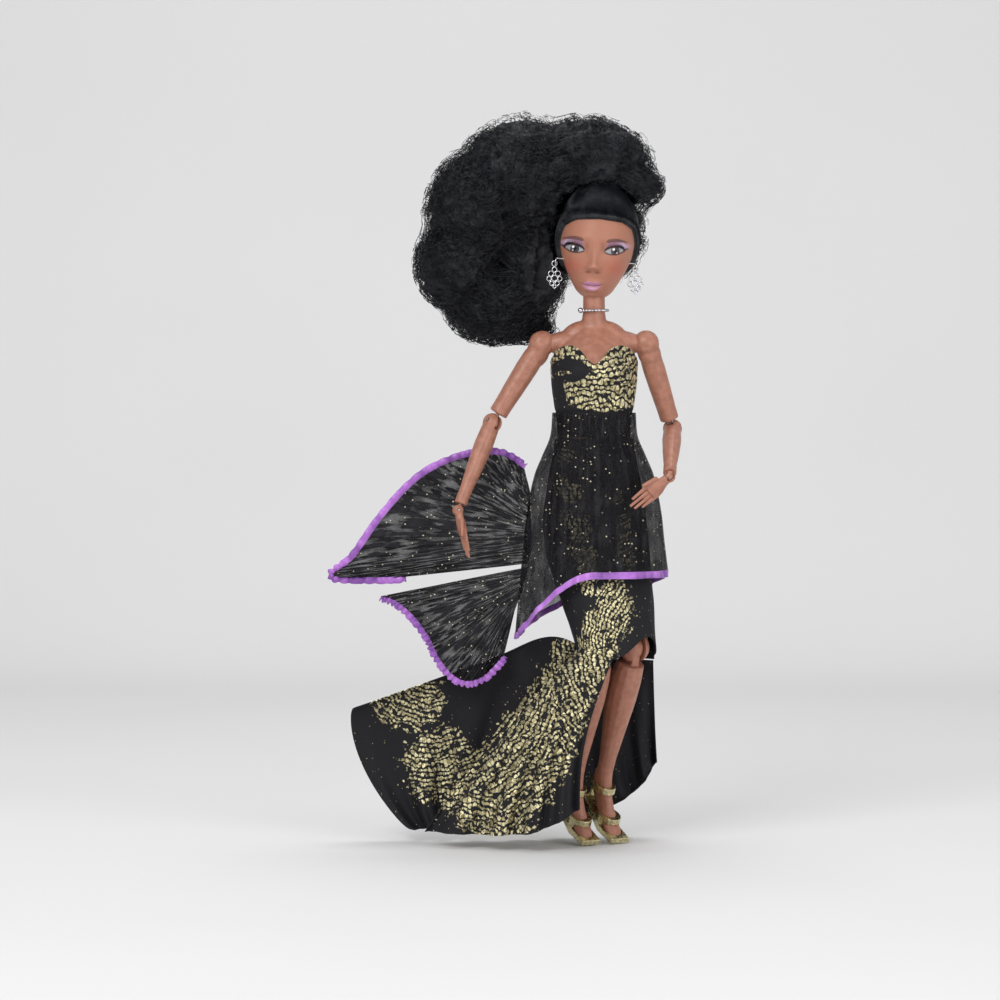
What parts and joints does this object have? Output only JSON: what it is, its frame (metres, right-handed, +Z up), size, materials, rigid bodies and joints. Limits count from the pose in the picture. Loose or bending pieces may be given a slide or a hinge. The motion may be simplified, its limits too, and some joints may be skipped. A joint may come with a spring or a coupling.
{
  "type": "fashion doll",
  "caption": "Jointed fashion doll with big curly hair, in a gold and black fishtail gown with a sheer overskirt, purple ribbon edges, choker, earrings and heels.",
  "frame": {"origin": "centre of the waist, between chest and lower torso", "axes": "+Z up the body, -Y the way the doll faces, +X to its left"},
  "size_m": [0.1615, 0.0709, 0.3273],
  "materials": {
    "skin": "satin vinyl, warm tan",
    "hair": "fine nylon fibre, black, curled",
    "gold_cloth": "black cloth with gold foil cells",
    "black_cloth": "matt black knit",
    "black_tulle": "sheer black tulle",
    "purple_satin": "glossy satin ribbon",
    "silver": "bright silver plating",
    "shoe_gold": "metallic gold plastic",
    "joint_plastic": "moulded plastic, skin-coloured",
    "pin_metal": "plain steel pin"
  },
  "bodies": {
    "lower_torso": {"lower_torso": "skin", "waist_peg": "joint_plastic", "hip_axle": "pin_metal", "gown_hips": "black_cloth", "overskirt": "black_tulle", "hem_ribbon": "purple_satin", "upper_fan": "black_tulle", "upper_fan_ribbon": "purple_satin", "lower_fan": "black_tulle", "lower_fan_ribbon": "purple_satin"},
    "chest": {"chest": "skin", "bodice": "gold_cloth", "back_closure": "black_cloth", "choker": "silver"},
    "neck_peg": {"neck_peg": "joint_plastic"},
    "head": {"head": "skin", "neck_pin": "pin_metal", "hair_cap": "hair", "hair_curls": "hair", "right_earring_hook": "silver", "left_earring_hook": "silver"},
    "right_earring": {"right_earring_drop": "silver"},
    "left_earring": {"left_earring_drop": "silver"},
    "right_shoulder_peg": {"right_shoulder_peg": "joint_plastic"},
    "right_upper_arm": {"right_upper_arm": "skin", "right_shoulder_pin": "pin_metal"},
    "right_elbow_peg": {"right_elbow_peg": "joint_plastic"},
    "right_forearm": {"right_forearm": "skin", "right_elbow_pin": "pin_metal"},
    "right_wrist_peg": {"right_wrist_peg": "joint_plastic"},
    "right_hand": {"right_hand": "skin", "right_wrist_pin": "pin_metal"},
    "left_shoulder_peg": {"left_shoulder_peg": "joint_plastic"},
    "left_upper_arm": {"left_upper_arm": "skin", "left_shoulder_pin": "pin_metal"},
    "left_elbow_peg": {"left_elbow_peg": "joint_plastic"},
    "left_forearm": {"left_forearm": "skin", "left_elbow_pin": "pin_metal"},
    "left_wrist_peg": {"left_wrist_peg": "joint_plastic"},
    "left_hand": {"left_hand": "skin", "left_wrist_pin": "pin_metal"},
    "right_thigh": {"right_thigh": "skin", "gown_knees": "gold_cloth"},
    "right_shin": {"right_shin": "skin", "right_knee_pin": "pin_metal", "right_shoe": "shoe_gold", "train": "gold_cloth"},
    "left_thigh": {"left_thigh": "skin"},
    "left_shin": {"left_shin": "skin", "left_knee_pin": "pin_metal", "left_shoe": "shoe_gold"}
  },
  "joints": [
    {"name": "torso_twist", "type": "hinge", "parent": "lower_torso", "child": "chest", "pos_m": [0, 0, 0], "axis": [0, 0, 1], "range_deg": [-20, 20], "deforming": ["overskirt", "hem_ribbon"]},
    {"name": "neck_turn", "type": "hinge", "parent": "chest", "child": "neck_peg", "pos_m": [0, 0.00094, 0.066], "axis": [0.0698, 0, 0.9976], "range_deg": [-45, 45], "deforming": ["hair_curls"]},
    {"name": "head_nod", "type": "hinge", "parent": "neck_peg", "child": "head", "pos_m": [0, 0.00094, 0.066], "axis": [0.9976, 0, -0.0698], "range_deg": [-10, 10]},
    {"name": "right_earring_swing", "type": "hinge", "parent": "head", "child": "right_earring", "pos_m": [-0.01746, -0.00298, 0.07713], "axis": [0.9976, 0, -0.0698], "range_deg": [-15, 15]},
    {"name": "left_earring_swing", "type": "hinge", "parent": "head", "child": "left_earring", "pos_m": [0.01884, -0.00298, 0.07459], "axis": [0.9976, 0, -0.0698], "range_deg": [-15, 15]},
    {"name": "right_arm_swing", "type": "hinge", "parent": "chest", "child": "right_shoulder_peg", "pos_m": [-0.0235, 0, 0.0415], "axis": [1, 0, 0], "range_deg": [-60, 25]},
    {"name": "right_arm_lift", "type": "hinge", "parent": "right_shoulder_peg", "child": "right_upper_arm", "pos_m": [-0.0235, 0, 0.0415], "axis": [0, 0.9962, -0.0872], "range_deg": [-18, 45]},
    {"name": "right_elbow_turn", "type": "hinge", "parent": "right_upper_arm", "child": "right_elbow_peg", "pos_m": [-0.04576, -0.0031, 0.00602], "axis": [0.5299, 0.0739, 0.8448], "range_deg": [-50, 40]},
    {"name": "right_elbow_bend", "type": "hinge", "parent": "right_elbow_peg", "child": "right_forearm", "pos_m": [-0.04576, -0.0031, 0.00602], "axis": [0.5451, 0.7334, -0.4061], "range_deg": [-81, 14]},
    {"name": "right_hand_twist", "type": "hinge", "parent": "right_forearm", "child": "right_wrist_peg", "pos_m": [-0.06111, -0.01322, -0.03286], "axis": [0.357, 0.2352, 0.904], "range_deg": [-60, 60]},
    {"name": "right_hand_bend", "type": "hinge", "parent": "right_wrist_peg", "child": "right_hand", "pos_m": [-0.06111, -0.01322, -0.03286], "axis": [0.2417, -0.9581, 0.1538], "range_deg": [-65, 35]},
    {"name": "left_arm_swing", "type": "hinge", "parent": "chest", "child": "left_shoulder_peg", "pos_m": [0.0235, 0, 0.0415], "axis": [1, 0, 0], "range_deg": [-60, 8]},
    {"name": "left_arm_lift", "type": "hinge", "parent": "left_shoulder_peg", "child": "left_upper_arm", "pos_m": [0.0235, 0, 0.0415], "axis": [0, 0.9563, 0.2924], "range_deg": [-45, 3]},
    {"name": "left_elbow_turn", "type": "hinge", "parent": "left_upper_arm", "child": "left_elbow_peg", "pos_m": [0.03578, 0.01174, 0.00309], "axis": [-0.2924, -0.2796, 0.9145], "range_deg": [-12, 40]},
    {"name": "left_elbow_bend", "type": "hinge", "parent": "left_elbow_peg", "child": "left_forearm", "pos_m": [0.03578, 0.01174, 0.00309], "axis": [0.9492, -0.2014, 0.2419], "range_deg": [-15, 80]},
    {"name": "left_hand_twist", "type": "hinge", "parent": "left_forearm", "child": "left_wrist_peg", "pos_m": [0.03303, -0.02592, -0.01747], "axis": [0.064, 0.8759, 0.4781], "range_deg": [-60, 60]},
    {"name": "left_hand_bend", "type": "hinge", "parent": "left_wrist_peg", "child": "left_hand", "pos_m": [0.03303, -0.02592, -0.01747], "axis": [0.5722, 0.3603, -0.7367], "range_deg": [-100, 5]},
    {"name": "right_hip_bend", "type": "hinge", "parent": "lower_torso", "child": "right_thigh", "pos_m": [-0.00996, -0.00575, -0.038], "axis": [-0.866, -0.5, 0], "range_deg": [-30, 25], "deforming": ["gown_hips", "gown_knees", "upper_fan", "upper_fan_ribbon", "lower_fan", "lower_fan_ribbon"]},
    {"name": "right_knee_bend", "type": "hinge", "parent": "right_thigh", "child": "right_shin", "pos_m": [0.00268, -0.02215, -0.09438], "axis": [0.866, 0.5, 0], "range_deg": [-42, 18], "deforming": ["train"]},
    {"name": "left_hip_bend", "type": "hinge", "parent": "lower_torso", "child": "left_thigh", "pos_m": [0.00996, 0.00575, -0.038], "axis": [-0.866, -0.5, 0], "range_deg": [-30, 25]},
    {"name": "left_knee_bend", "type": "hinge", "parent": "left_thigh", "child": "left_shin", "pos_m": [0.01784, -0.0134, -0.09438], "axis": [0.866, 0.5, 0], "range_deg": [-42, 18]}
  ],
  "couplings": [
    {"joint": "left_hip_bend", "follows": "right_hip_bend", "ratio": 1},
    {"joint": "left_knee_bend", "follows": "right_knee_bend", "ratio": 1}
  ]
}
